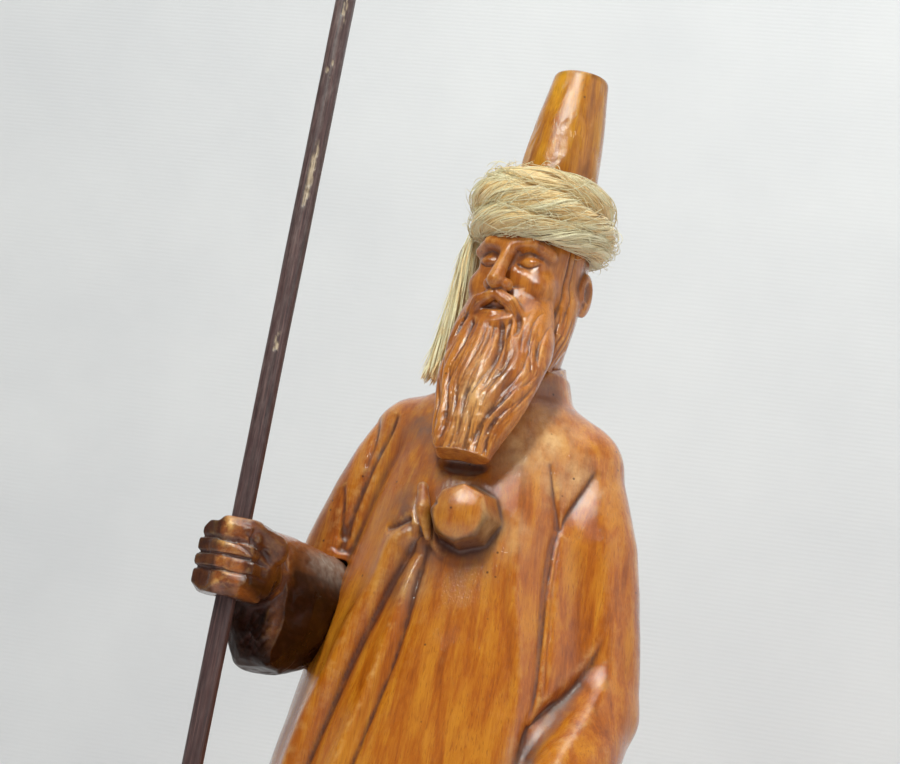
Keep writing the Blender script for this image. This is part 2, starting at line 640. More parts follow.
# ---------------------------------------------------------------- body: robe, mantle, arms, left hand, shoes
def sculpt_body():
    clay = Clay(
        joined(ruler(-60, -30, 0.52), ruler(-29.6, 32, 0.34), ruler(32.4, 62, 0.52)),
        joined(ruler(-58, -4, 0.50), ruler(-3.3, 50, 0.85)),
        joined(ruler(PLINTH_TOP - 2, 160, 1.0), ruler(160.5, COLLAR + 9, 0.48)),
    )
    robe = [
        (PLINTH_TOP, 57.0, 45.0, 1.0, 0.0),
        (60.0, 53.5, 41.5, 1.0, 0.0),
        (110.0, 49.5, 38.0, 1.5, 0.0),
        (170.0, 42.4, 32.5, 0.4, 0.0),
        (197.0, 37.4, 29.5, -0.2, 0.0),
        (218.0, 32.6, 27.0, 0.0, 0.0),
        (236.0, 28.8, 24.5, 0.3, 0.0),
        (253.0, 25.0, 19.5, 0.0, 0.3),
        (264.0, 18.5, 15.5, 0.0, 0.6),
        (COLLAR, 12.8, 12.6, 0.0, 0.5),
    ]
    clay.add(stack(robe, smooth=2.5))
    # shoulders and arms
    clay.add(ball((-15, 1, 254), (17, 12, 11.5)), 5)
    clay.add(ball((13, 1, 253.0), (17, 12, 11.5)), 4)
    left_arm = [(20.5, 0, 247.5), (24.2, -0.8, 239.5), (27.5, -1.5, 231), (29.8, -2.0, 221),
                (31.6, -2.5, 211), (33.0, -3.6, 201), (33.9, -5.5, 193)]
    clay.add(limb(left_arm, [11.2, 11.0, 10.9, 10.8, 10.8, 10.9, 11.0]), 4)
    left_forearm = [(33.9, -5.5, 192), (33.8, -15, 180), (32.2, -25, 168), (28.5, -33, 158)]
    clay.add(limb(left_forearm, [11.0, 10.8, 10.6, 10.4]), 2.5)
    upper_arm = Clay(*clay.axes)
    right_arm = [(-21.5, 1, 251.5), (-26.2, 1.5, 245), (-30.0, 2, 237.5), (-33.2, 2.6, 230),
                 (-35.6, 3, 223), (-37.2, 3, 214)]
    upper_arm.add(limb(right_arm, [12.2, 11.2, 10.6, 10.4, 10.4, 10.4]))
    where, grids = clay.window((-60, -20, 212), (0, 24, 270))
    beyond = np.maximum(upper_arm.field[where], ELBOW_Z - grids[2])
    clay.field[where] = smooth_min(clay.field[where], beyond, 1.6)
    # left cuff and the hand resting on the robe
    clay.cut(ball((25.2, -40.0, 153.5), (7.6, 6.0, 7.6)), 0.6)
    clay.add(limb([(27.5, -34.5, 158), (23.5, -40.5, 152.5), (17.5, -42.5, 148.0)], [6.0, 5.6, 5.0]), 0.8)
    for drop in (3.6, 1.2, -1.2, -3.4):
        start = (19.0, -43.6 + 0.2 * abs(drop), 148.8 + drop)
        end = (10.4 + 0.3 * drop, -41.2, 143.8 + drop * 1.05)
        clay.add(bone(start, end, 1.75, 1.45), 0.3)
    clay.add(bone((22.5, -43.2, 156.0), (16.2, -43.6, 154.8), 2.0, 1.7), 0.5)
    # mantle knot with its side loop
    clay.add(boss((1.7, 231.3), 6.35, -34.8, -20.0, 0.12), 0.3)
    clay.cut(ball((-5.6, -34.0, 232.8), (2.4, 2.6, 0.55)), 0.2)
    clay.add(limb([(-10.4, -24.6, 237.5), (-8.8, -27.4, 232.0), (-6.6, -27.2, 225.6)], [1.3, 2.2, 1.3]), 0.4)
    # hollow under the beard
    clay.cut(ball((-3.0, -23.5, 244.8), (7.6, 4.2, 3.2)), 0.8)
    # collar standing up round the neck
    neckline = [
        (262.0, 15.6, 14.4, 0.2, 1.0),
        (COLLAR - 3, 13.4, 13.0, 0.5, 0.7),
        (279.5, 10.9, 11.8, 0.7, 0.8),
    ]
    clay.add(stack(neckline, smooth=1.5), 3)
    clay.cut(upright_hole(HEAD_X, 0, COLLAR, 284, 10.2))
    clay.cut(half_space((0, -9, 271.5), (0.0, -0.75, 0.66), (-16, -18, 264), (16, -4, 280)), 0.6)
    clay.cut(half_space((0, 0, 275.6), (0.03, -0.32, 1.0), (-16, -18, 268), (18, 18, 284)), 0.4)
    # shoes
    for side in (-1, 1):
        clay.add(ball((side * 17.0, -41.0, PLINTH_TOP + 1.0), (8.0, 14.0, 8.0)), 0.8)
    clay.cut(half_space((0, 0, PLINTH_TOP), (0, 0, -1), (-60, -60, 0), (62, 60, PLINTH_TOP + 4)), margin=0)
    return clay


def carve_robe_folds(surface):
    """Folds, seams and creases of the robe and mantle, cut along lines seen from the front as (x, z)."""
    x, y, z = surface.v.T
    front = rise(y, -4.0, -6.0)
    torso = front * rise(x, 25.5, -4.0)
    cloth = torso * rise(np.hypot(x - 1.9, z - 230.6), 9.6, 1.0)
    # mantle: rolled edge and two folds falling from the knot to the hem
    roll = [(-12.0, 227.5), (-15.6, 223.8), (-17.5, 214.4), (-21.6, 204.4), (-24.8, 192.3), (-29.4, 178.8),
            (-33.0, 160.0), (-38.0, 120.0), (-42.5, 70.0), (-44.5, 16.0)]
    deep = [(-9.0, 228.0), (-11.7, 222.7), (-14.0, 215.5), (-16.4, 208.5), (-18.9, 201.5), (-21.2, 193.4),
            (-24.0, 183.5), (-27.2, 171.5), (-32.0, 148.0), (-37.5, 105.0), (-41.0, 50.0), (-41.5, 14.0)]
    second = [(-7.2, 224.5), (-7.6, 215.5), (-8.0, 206.0), (-9.0, 196.0), (-10.8, 187.0), (-12.8, 177.5),
              (-15.5, 163.0), (-19.0, 130.0), (-22.5, 80.0), (-24.0, 14.0)]
    between = [(-8.8, 222.0), (-9.8, 211.0), (-11.2, 201.0), (-13.2, 190.5), (-15.6, 180.5), (-18.6, 166.0),
               (-23.5, 130.0), (-28.0, 80.0), (-30.0, 14.0)]
    surface.score(roll, -1.3, 2.4, 2.6, cloth, (0.02, 0.0), power=2)
    surface.score(deep, 3.1, 3.6, 1.5, cloth, (0.03, 0.0))
    surface.score(between, -0.9, 1.2, 2.2, cloth, (0.04, 0.0), power=2)
    surface.score(second, 1.9, 2.6, 1.3, cloth, (0.03, 0.0))
    surface.score([(-18.8, 227.3), (-15.4, 228.9), (-12.6, 230.4)], 1.5, 0.6, 0.9, cloth, (0.3, 0.05))
    surface.score([(-12.2, 236.8), (-11.3, 231.5), (-8.9, 226.0)], 1.2, 0.9, 0.6, torso, (0.3, 0.1))
    # left arm: bevel of the chest, the long seam, its shallow twin and the fold at the armpit
    seam = [(16.8, 249.0), (19.3, 240.8), (21.6, 233.6), (21.5, 227.7), (22.0, 217.8), (23.2, 206.8),
            (24.4, 193.7), (24.3, 187.5)]
    surface.score(seam, 1.5, 1.2, 5.0, front, (0.45, 0.55))
    surface.score(seam, 0.85, 0.55, 0.75, front, (0.12, 0.10))
    twin = [(22.6, 231.5), (23.0, 221.3), (24.6, 206.3), (26.2, 193.5)]
    surface.score(twin, 0.5, 0.6, 0.8, front)
    # soft ridge down the left of the seam
    ridge = [(12.0, 236.0), (14.6, 225.0), (15.8, 215.0), (18.2, 207.0), (20.6, 196.0), (21.6, 186.0)]
    surface.score(ridge, -0.55, 1.8, 1.2, cloth, (0.3, 0.3), power=2)
    armpit = [(21.7, 232.5), (23.3, 238.1), (25.0, 243.5), (27.0, 250.0)]
    surface.score(armpit, 1.9, 0.8, 2.6, front, (0.30, 0.4))
    # left elbow: deep fold and the bright ridge below it
    elbow = [(36.8, 212.6), (34.8, 206.0), (32.7, 200.2), (30.0, 195.0), (27.0, 190.6), (24.6, 186.2),
             (23.6, 177.5), (20.5, 168.0)]
    surface.score(elbow, 2.7, 6.0, 0.9, front, (0.30, 0.25), taper=1.3)
    sleeve_ridge = [(39.6, 207.5), (37.6, 198.0), (35.4, 188.0), (33.2, 178.5), (30.5, 169.0)]
    surface.score(sleeve_ridge, -1.0, 2.6, 3.6, front, (0.35, 0.3), power=2, taper=1.0)
    # right upper arm: seam against the chest and two short folds
    right = rise(x, -22.0, -2.0) * rise(z, ELBOW_Z, 2.0)
    arm_seam = [(-25.0, 257.5), (-26.4, 252.0), (-28.4, 246.0), (-30.2, 239.0), (-32.0, 231.0),
                (-33.4, 222.0)]
    low_fold = [(-36.2, 238.5), (-35.2, 234.0), (-34.0, 229.0), (-33.2, 225.0)]
    high_fold = [(-31.2, 257.0), (-30.2, 252.5), (-30.0, 248.0), (-30.6, 243.0)]
    surface.score(arm_seam, 1.8, 1.0, 1.4, right, (0.1, 0.0))
    surface.score(low_fold, 1.3, 0.7, 1.8, right, (0.3, 0.1))
    surface.score(high_fold, 1.1, 0.7, 1.2, right, (0.2, 0.3))
    # collar: a soft hollow where it rises from the shoulders
    collar = (z - (COLLAR - 5.0 + 0.10 * y)) / 2.2
    surface.v -= surface.normals() * (0.5 * np.exp(-(collar**2)))[:, None]


def carve_long_folds(surface):
    """Folds that fall down the skirt's front, sides and back, placed by angle round the axis."""
    x, y, height = surface.v.T
    angle = np.degrees(np.arctan2(y, x))
    radius = np.hypot(x, y)
    normals = surface.normals()
    upright = np.clip(1.6 - 2.2 * np.abs(normals[:, 2]), 0, 1)
    # angle at the top and at the hem, top height, depth, width
    folds = [
        (20, 14, 172, 2.4, 4.2), (3, -5, 160, 1.6, 3.0), (-27, -24, 135, 2.2, 3.6),
        (-46, -43, 132, 2.6, 4.2), (-62, -66, 110, 1.3, 2.6), (-84, -84, 140, 1.5, 3.2),
        (-100, -101, 95, 1.0, 2.2), (176, 170, 195, 2.0, 3.6), (158, 150, 200, 2.3, 3.8),
        (134, 128, 236, 2.6, 4.2), (112, 108, 222, 1.6, 3.0), (92, 90, 248, 2.8, 4.6),
        (74, 74, 212, 1.7, 3.2), (57, 56, 232, 2.5, 4.2), (38, 37, 176, 1.5, 3.0),
        (-166, -160, 160, 1.7, 3.2),
    ]
    total = np.zeros(len(height))
    for top_angle, low_angle, top, depth, width in folds:
        down = rise(height, top, FOLD_FOOT - top)
        middle = top_angle + (low_angle - top_angle) * down + 1.2 * np.sin(down * 7.0 + top_angle)
        swing = (angle - middle + 180) % 360 - 180
        gap = np.radians(swing) * radius
        spread = width * (0.55 + 0.8 * down)
        valley = 0.75 * np.exp(-np.abs(gap) / (0.55 * spread)) + 0.35 * np.exp(-((gap / spread) ** 2))
        swell = 0.45 * np.exp(-(((gap - 1.7 * spread) / (1.1 * spread)) ** 2))
        total += rise(height, top, -26.0) ** 0.8 * depth * (valley - swell)
    keep = np.where((y < 0) & (height > 200), 0.0, 1.0)
    surface.v -= normals * (total * upright * keep)[:, None]


def sculpt_body_surface():
    surface = skin(sculpt_body())
    surface.relax(1, 0.4)
    carve_long_folds(surface)
    carve_robe_folds(surface)
    height = surface.v[:, 2]
    skirt = (height > PLINTH_TOP + 3) & (height <= 150)
    surface.relax(2, 0.3)
    surface.knife_cuts(320, 0.16, 13.0, 22, skirt)
    uneven = 0.55 * (smooth_noise(surface.v * [1, 1, 0.45], 9.0, 21) - 0.5)
    uneven += 0.16 * (smooth_noise(surface.v * [1, 1, 0.5], 3.0, 5) - 0.5)
    surface.v += surface.normals() * uneven[:, None]
    flat = surface.v[:, 2] < PLINTH_TOP + 0.02
    surface.v[flat, 2] = PLINTH_TOP + 0.02
    return surface


# ---------------------------------------------------------------- head, beard and ears
def sculpt_head():
    front_to_back = joined(ruler(-35, -5, 0.3), ruler(-4.6, 19, 0.42))
    clay = Clay(ruler(-17.5, 17.5, 0.3), front_to_back, ruler(240, CAP_SEAT + 1.5, 0.3))
    skull = [
        (COLLAR, 9.4, 9.8, 0, 0.3),
        (280.0, 10.8, 12.5, 0, -1.0),
        (288.0, 12.5, 14.9, 0, -1.8),
        (297.0, 13.0, 16.1, 0, -1.8),
        (306.0, 13.0, 16.2, 0, -1.2),
        (CAP_SEAT, 11.6, 12.5, 0, -0.5),
    ]
    clay.add(stack(skull, smooth=2.5))
    for side in (-1, 1):
        # brow, socket, eyeball with a lowered lid, cheek
        brow = [(side * 1.8, -17.4, 300.9), (side * 5.6, -16.8, 301.7), (side * 9.6, -13.2, 300.2)]
        clay.add(limb(brow, [1.5, 1.6, 1.2]), 2.0)
        clay.cut(ball((side * 5.2, -19.0, 297.2), (4.3, 3.3, 2.7)), 1.4)
        clay.add(ball((side * 5.3, -13.9, 297.0), (3.3, 2.9, 2.0)), 0.7)
        clay.add(ball((side * 7.0, -12.6, 291.4), (4.3, 4.0, 4.0)), 3.0)
    clay.add(limb([(0, -17.3, 300.6), (0, -19.4, 296.0), (0, -22.0, 290.7)], [1.5, 1.6, 2.15]), 1.5)
    for side in (-1, 1):
        clay.add(ball((side * 2.2, -19.9, 290.1), (1.55, 2.0, 1.6)), 0.6)
        clay.cut(ball((side * 1.15, -20.9, 288.0), (0.75, 1.1, 0.8)), 0.3)
    # beard: a long block hanging clear of the chest, blunt at the end
    beard = [
        (243.5, 7.4, 3.2, 1.6, -28.0),
        (249.0, 9.2, 4.6, 1.9, -26.8),
        (258.0, 12.0, 6.2, 2.7, -23.9),
        (268.0, 14.0, 7.6, 2.6, -20.0),
        (277.0, 13.9, 8.4, 1.6, -15.8),
        (284.0, 12.4, 7.8, 0.4, -12.6),
        (290.0, 10.6, 6.6, 0, -10.6),
    ]
    # hair and whiskers fill the side of the neck down to the collar
    for side in (-1, 1):
        whiskers = [(side * 9.8, -3, 290), (side * 9.6, -5, 281), (side * 9.0, -8, 274.5)]
        clay.add(limb(whiskers, [4.4, 4.6, 3.6]), 2.5)
    clay.add(stack(beard, smooth=2.0), 1.2)
    clay.cut(ball((0.0, -24.5, 240.5), (7.0, 3.6, 4.4)), 0.6)
    clay.cut(half_space((0, -31.0, 246.4), (-0.04, -0.30, -0.95), (-12, -36, 240), (14, -22, 254)), 0.5)
    clay.cut(half_space((-4.0, -30.0, 247.0), (-0.72, -0.40, -0.56), (-12, -36, 240), (14, -22, 254)), 0.4)
    # mouth: a dark slot under the moustache, lower lip
    clay.cut(ball((0, -21.6, 284.6), (4.6, 2.6, 1.5)), 0.5)
    clay.add(limb([(-3.4, -19.3, 282.9), (0, -20.6, 282.4), (3.4, -19.3, 282.9)], [0.8, 1.15, 0.8]), 0.7)
    for side in (-1, 1):
        curl = [(side * 0.9, -20.6, 287.4), (side * 4.2, -20.2, 285.6), (side * 7.2, -18.4, 281.4),
                (side * 8.4, -18.0, 275.6)]
        clay.add(limb(curl, [1.5, 1.9, 1.7, 0.9]), 0.6)
        # ear
        clay.add(ball((side * 13.3, 1.6, 294.5), (1.7, 3.7, 5.6)), 0.8)
        clay.cut(ball((side * 15.3, 0.8, 295.2), (1.5, 2.0, 3.4)), 0.3)
        clay.cut(ball((side * 15.0, -0.2, 291.5), (1.0, 1.3, 1.6)), 0.3)
    # flat seats: on the collar behind the beard, and for the cap
    where, grids = clay.window((-20, -14, 200), (20, 20, COLLAR + 4))
    seat = np.where(grids[1] > -13, COLLAR + 0.05 - grids[2], -FAR)
    clay.field[where] = np.maximum(clay.field[where], seat)
    low, high = (-20, -20, CAP_SEAT - 3), (20, 20, CAP_SEAT + 3)
    clay.cut(half_space((0, 0, CAP_SEAT), (0, 0, 1), low, high), margin=0)
    return clay


def beard_x(share, z):
    """Where a strand lies across the beard, share from -1 to 1."""
    marks = [243.5, 249, 258, 268, 277, 284, 292]
    half = np.interp(z, marks, [7.4, 9.2, 12.0, 14.0, 13.9, 12.6, 12.8])
    middle = np.interp(z, marks, [1.6, 1.9, 2.7, 2.6, 1.6, 0.4, 0.0])
    return middle + 0.98 * share * half


def carve_head():
    surface = skin(sculpt_head())
    rng = np.random.default_rng(31)
    surface.relax(1, 0.4)
    x, y, z = surface.v.T
    front = rise(y, -9.0, -3.0)
    beard_line = 280.5 + 0.05 * x**2
    normals = surface.normals()
    beard = front * rise(z, beard_line, -1.6)
    # strands fade out on the cut end of the beard
    beard = beard * np.maximum(rise(z, 247.5, 1.5), np.clip((normals[:, 2] + 0.50) / 0.15, 0.12, 1))

    def strand(share, top, low, depth, left, right, swing, drift, fade):
        heights = np.linspace(top, low, 10)
        wave = swing * np.sin((heights - BEARD_END) / 3.9 + 2.2 * share)
        across = beard_x(share + drift * (top - heights) / 40, heights) + wave
        surface.score(np.stack([across, heights], 1), depth, left, right, beard, fade, normals=normals)

    # locks: S-shaped furrows, then the strands within them, then fine scratches
    for share in np.linspace(-0.98, 0.98, 13):
        for top, low in ((286.0, 264.0), (270.0, 251.0), (260.0, 243.0)):
            top, low = top + rng.uniform(-6, 3), low + rng.uniform(-2, 6)
            depth = rng.uniform(0.2, 0.75)
            swing, drift = rng.uniform(0.5, 1.5), rng.uniform(-0.9, 0.1)
            share_here = share + rng.uniform(-0.09, 0.09)
            strand(share_here, top, max(low, BEARD_END), depth, 0.42, 1.1, swing, drift, (0.35, 0.3))
    strand(0.26, 291, 262, 1.7, 0.9, 1.4, 0.6, -0.1, (0.1, 0.3))
    normals = surface.normals()
    for n in range(60):
        top = rng.uniform(250, 287)
        low = max(top - rng.uniform(6, 15), BEARD_END)
        share, depth, drift = rng.uniform(-1, 1), rng.uniform(0.18, 0.45), rng.uniform(-1.0, 0)
        strand(share, top, low, depth, 0.33, 0.55, 0.9, drift, (0.3, 0.3))
    normals = surface.normals()
    for n in range(110):
        top = rng.uniform(248, 287)
        share, low = rng.uniform(-1, 1), top - rng.uniform(4, 10)
        depth, drift = rng.uniform(0.12, 0.3), rng.uniform(-0.6, 0)
        strand(share, top, low, depth, 0.28, 0.3, 0.8, drift, (0.3, 0.3))
    # moustache strands
    for side in (-1, 1):
        for n in range(4):
            line = [(side * (1.0 + 0.4 * n), 288.2 - 0.9 * n), (side * (4.6 + 0.2 * n), 286.8 - 1.2 * n),
                    (side * (7.6 + 0.1 * n), 282.0 - 0.8 * n), (side * (8.9 - 0.4 * n), 276.5)]
            surface.score(line, 0.35, 0.35, 0.45, front, (0.2, 0.3))
        # lids, brow line, hairline before the ear
        lid = [(side * 2.4, 296.6), (side * 4.0, 295.9), (side * 5.6, 295.6), (side * 7.2, 296.0),
               (side * 8.4, 296.9)]
        surface.score(lid, 0.55, 0.28, 0.28, front, (0.15, 0.15))
        crease = [(side * 2.6, 298.4), (side * 5.2, 299.4), (side * 8.3, 298.2)]
        surface.score(crease, 0.30, 0.35, 0.35, front, (0.2, 0.2))
    cheek = rise(y, -1.0, -2.0)
    for side_mask in (cheek * (x > 4), cheek * (x < -4)):
        for line_y, depth in ((-7.6, 0.75), (-5.6, 0.55)):
            line = [(line_y + 0.6, 304), (line_y, 297), (line_y - 0.4, 290), (line_y - 2.4, 282)]
            surface.score(line, depth, 0.45, 0.45, side_mask, (0.02, 0.2), columns=(1, 2))
        # sideburn strands run down from the hairline into the beard
        for n in range(5):
            line_y = -8.6 + 1.7 * n
            line = [(line_y + 1.0, 289 - n), (line_y + 0.5, 284), (line_y - 2.0, 278), (line_y - 5.0, 270)]
            surface.score(line, 0.5, 0.45, 0.6, side_mask, (0.15, 0.2), columns=(1, 2))
    # hair at the back: upright gouge lines by angle
    angle = np.degrees(np.arctan2(x, y - 1.0))
    behind = rise(np.abs(angle), 72, -8) * (np.hypot(x, y) > 6)
    wave = angle + 2.2 * np.sin(z / 3.1 + 0.09 * angle)
    ridge = np.abs((wave / 7.5 + 0.5) % 1.0 - 0.5) * 2
    surface.v -= surface.normals() * (behind * 0.7 * (1 - ridge) ** 1.6)[:, None]
    surface.knife_cuts(60, 0.06, 2.2, 32, (y < -6) & (z > 280))
    surface.knife_cuts(60, 0.14, 4.0, 33, (z > 272) & (y > -8))
    # the head is carved looking straight ahead, then turned on its neck
    cosine, sine = math.cos(HEAD_TURN), math.sin(HEAD_TURN)
    surface.v = np.stack([x * cosine - y * sine + HEAD_X, x * sine + y * cosine, z], 1)
    return surface


# ---------------------------------------------------------------- cap, plinth, staff
def sculpt_cap():
    clay = Clay(ruler(-10, 15, 0.34), ruler(-12.5, 12.5, 0.34), ruler(CAP_SEAT - 1, CAP_TOP + 2.5, 0.34))
    top = CAP_TOP + 1.0
    cone = [
        (CAP_SEAT, 10.5, 10.5, 2.3, 0),
        (CAP_SEAT + 10, 9.85, 9.8, 2.75, 0),
        (CAP_SEAT + 20, 8.75, 8.7, 3.3, 0),
        (CAP_SEAT + 28, 7.55, 7.5, 3.8, 0),
        (top, 6.85, 6.8, 4.1, 0),
    ]
    clay.add(stack(cone, smooth=2.0))
    clay.cut(half_space((4, 0, top - 0.05), (0.03, 0, 1), (-12, -14, top - 4), (16, 14, top + 3)), 1.8)
    seat = CAP_SEAT + 0.03
    clay.cut(half_space((0, 0, seat), (0, 0, -1), (-14, -14, CAP_SEAT - 3), (18, 14, CAP_SEAT + 2)), margin=0)
    surface = skin(clay)
    surface.relax(2, 0.4)
    surface.knife_cuts(70, 0.10, 4.5, 41, surface.v[:, 2] < CAP_TOP - 1)
    surface.relax(2, 0.4)
    uneven = 0.16 * (smooth_noise(surface.v * [1, 1, 0.4], 4.0, 42) - 0.5)
    surface.v += surface.normals() * (uneven * (surface.v[:, 2] > CAP_SEAT + 1))[:, None]
    return surface


def sculpt_plinth():
    centre = (plinth_low + plinth_high) / 2
    half = (plinth_high - plinth_low) / 2
    clay = Clay(
        ruler(plinth_low[0] - 1.5, plinth_high[0] + 1.5, 0.7),
        ruler(plinth_low[1] - 1.5, plinth_high[1] + 1.5, 0.7),
        ruler(-1.2, PLINTH_TOP + 1.2, 0.42),
    )
    side = [(height, half[0], half[1], centre[0], centre[1]) for height in (-4.0, PLINTH_TOP + 4)]
    clay.add(stack(side, smooth=1))
    # rounded top edge and a small round under the foot
    where, grids = clay.window(plinth_low - 3, plinth_high + 3)
    clay.field[where] = -smooth_min(-clay.field[where], PLINTH_TOP - grids[2], 5.0)
    clay.field[where] = -smooth_min(-clay.field[where], grids[2], 1.6)
    clay.cut(upright_hole(STAFF_X, STAFF_Y, staff_low[2], PLINTH_TOP + 3, STAFF_R + 0.12))
    # countersunk holes for the two screws that hold the figure from below
    screws_low, screws_high = box_mm("base_screws")
    head_radius = (screws_high[1] - screws_low[1]) / 2
    for screw_x in (screws_low[0] + head_radius, screws_high[0] - head_radius):
        clay.cut(upright_hole(screw_x, 0, -3, 4.5, head_radius + 0.1))
    return clay


def unit(vectors):
    return vectors / np.maximum(np.linalg.norm(vectors, axis=1, keepdims=True), 1e-9)


def tube_ring(points, radii, sides, guide=TUBE_GUIDE):
    """Vertices of a tube round a path, sides per ring; guide is a direction the path never takes."""
    points = np.asarray(points, float)
    tangent = unit(np.gradient(points, axis=0))
    across = unit(np.cross(tangent, np.array(guide, float)))
    other = np.cross(tangent, across)
    angle = np.linspace(0, 2 * np.pi, sides, endpoint=False)[None, :, None]
    spread = across[:, None, :] * np.cos(angle) + other[:, None, :] * np.sin(angle)
    return (points[:, None, :] + spread * radii[:, None, None]).reshape(-1, 3)


def tube_quads(rings, sides, start=0, closed=False):
    """Faces between the rings of a tube; a closed one joins its last ring to its first."""
    ring = np.arange(rings if closed else rings - 1)[:, None]
    side = np.arange(sides)[None, :]
    here, there = ring * sides, (ring + 1) % rings * sides
    following = (side + 1) % sides
    corners = [here + side, there + side, there + following, here + following]
    return np.stack(corners, axis=-1).reshape(-1, 4) + start


class Bundle:
    """Many fine tubes gathered in one mesh."""

    def __init__(self):
        self.vertices, self.quads, self.tone, self.count = [], [], [], 0

    def lay(self, points, radius, sides, tone, closed=False, taper=0.0, guide=TUBE_GUIDE):
        points = np.asarray(points, float)
        radii = np.full(len(points), float(radius))
        if taper and not closed:
            ends = np.minimum(np.arange(len(points)), np.arange(len(points))[::-1]) / (taper * len(points))
            radii *= np.clip(ends, 0.15, 1)
        ring = tube_ring(points, radii, sides, guide)
        self.vertices.append(ring)
        self.quads.append(tube_quads(len(points), sides, self.count, closed))
        self.tone.append(np.full(len(ring), tone))
        self.count += len(ring)

    def build(self, name, material, replaces):
        vertices, quads, tone = (np.concatenate(parts) for parts in (self.vertices, self.quads, self.tone))
        make_object(name, vertices, quads, material, "figure", replaces, {"tone": tone})


def build_staff(material):
    """Turned rod with raised grain, chipped where splinters have lifted off."""
    rings, sides = int(900 / COARSE), int(40 / COARSE)
    heights = np.linspace(staff_low[2], staff_high[2], rings)
    angle = np.linspace(0, 2 * np.pi, sides, endpoint=False)
    grid_z, grid_a = np.meshgrid(heights, angle, indexing="ij")
    flat = np.stack([np.cos(grid_a).ravel() * 4, np.sin(grid_a).ravel() * 4, grid_z.ravel() * 0.06], 1)
    fibre = smooth_noise(flat, 0.55, 51).reshape(grid_z.shape)
    broad = smooth_noise(flat * [1, 1, 1.4], 2.4, 52).reshape(grid_z.shape)
    radius = STAFF_R - 0.02 - 0.10 * fibre**2 - 0.13 * broad
    # height, angle, length, width and depth of each chip
    chips = [
        (304, -70, 6, 0.28, 0.30), (309, -60, 3.5, 0.2, 0.3), (299, -78, 4, 0.16, 0.25),
        (345, -66, 5, 0.12, 0.2), (331, -80, 3, 0.10, 0.2), (262, -75, 3, 0.12, 0.2),
        (150, -60, 6, 0.14, 0.25), (96, -80, 7, 0.16, 0.25), (320, 70, 9, 0.3, 0.3),
        (200, 100, 7, 0.25, 0.3), (120, 140, 6, 0.2, 0.3),
    ]
    bare = np.zeros(grid_z.shape)
    for height, place, length, width, depth in chips:
        swing = (grid_a - np.radians(place) + np.pi) % (2 * np.pi) - np.pi
        jag = 0.7 * (fibre - 0.5) + 0.1 * np.sin(grid_z * 1.7)
        spot = np.clip(1.2 - ((grid_z - height) / length) ** 2 - ((swing + jag) / width) ** 2, 0, 1)
        radius -= depth * spot
        bare = np.maximum(bare, spot)
    end = np.minimum(grid_z - staff_low[2], staff_high[2] - grid_z)
    radius -= np.clip(0.5 - end, 0, 0.5)
    side_points = np.stack([STAFF_X + radius * np.cos(grid_a), STAFF_Y + radius * np.sin(grid_a), grid_z], -1)
    points, faces, bares = [side_points.reshape(-1, 3)], [tube_quads(rings, sides)[:, ::-1]], [bare.ravel()]
    # each end is closed by a fan of quads round a middle point
    for number, (first, height) in enumerate(((0, staff_low[2]), ((rings - 1) * sides, staff_high[2]))):
        start = np.arange(0, sides, 2)
        centre = np.full(len(start), rings * sides + number)
        fan = np.stack([first + start, first + (start + 1) % sides, first + (start + 2) % sides, centre], 1)
        points.append([[STAFF_X, STAFF_Y, height]])
        faces.append(fan if number else fan[:, ::-1])
        bares.append([0.5])
    make_object("staff_rod", np.concatenate(points), np.concatenate(faces), material, "staff",
                ("staff",), {"bare": np.concatenate(bares)})


# ---------------------------------------------------------------- jute
# one turn of the wrap each: height, reach, half height, half depth, tilt, lean, twist
HANKS = [
    (308.4, 14.2, 4.3, 4.0, -2.0, 3.5, 1),
    (312.4, 14.5, 4.4, 4.3, -10.0, -1.0, 2),
    (317.6, 13.2, 4.3, 3.9, -3.0, 1.0, -1),
]


def hank_path(hank, angle, around=0.0, swell=0.0):
    """Path along a hank at angles from +X: swell 0 is its middle and 1 its surface, around turns about it.

    The hank's tilt raises +X and its lean raises the back.
    """
    height, reach, tall, deep, tilt, lean, _ = hank
    x = reach * np.cos(angle)
    y = reach * 1.15 * np.sin(angle) - 1.5
    z = height + x * math.tan(math.radians(tilt)) + y * math.tan(math.radians(lean))
    sideways = deep * swell * np.cos(around)
    x = x + 1.2 + np.cos(angle) * sideways
    y = y + 1.15 * np.sin(angle) * sideways
    return np.stack([x, y, z + tall * swell * np.sin(around)], 1)


def lay_locks(bundle, rng, hank):
    """Thick locks that wind along a hank, each a ribbon of strands."""
    locks = 10
    twist = hank[-1]
    angle = np.linspace(0, 2 * np.pi, int(132 / COARSE), endpoint=False)
    bundle.lay(hank_path(hank, angle), min(hank[2], hank[3]) * 0.86, 14, 0.25, closed=True)
    for lock in range(locks):
        phase = rng.uniform(0, 2 * np.pi, 4)
        loose = rng.uniform(0.3, 1.0)
        drift = 0.34 * np.sin(2 * angle + phase[0]) + 0.15 * np.sin(5 * angle + phase[1])
        middle = 2 * np.pi * lock / locks + rng.uniform(-0.15, 0.15) + twist * angle + loose * drift
        height_share = 0.92 + 0.07 * np.sin(3 * angle + phase[2]) + 0.04 * np.sin(7 * angle + phase[3])
        height_share = height_share * rng.uniform(0.88, 1.08)
        lock_tone = rng.uniform(0.15, 0.95)
        for place in np.linspace(-1, 1, int(11 / COARSE)):
            swirl = middle + 1.25 * math.pi / locks * place + 0.035 * np.sin(9 * angle + rng.uniform(0, 6.3))
            swell = height_share * (1 - 0.24 * place**2) + rng.uniform(-0.03, 0.03)
            path = hank_path(hank, angle, swirl, swell)
            path += rng.normal(0, 0.025, path.shape)
            tone = lock_tone + rng.uniform(-0.2, 0.25)
            bundle.lay(path, rng.uniform(0.16, 0.36), 5, tone, closed=True)


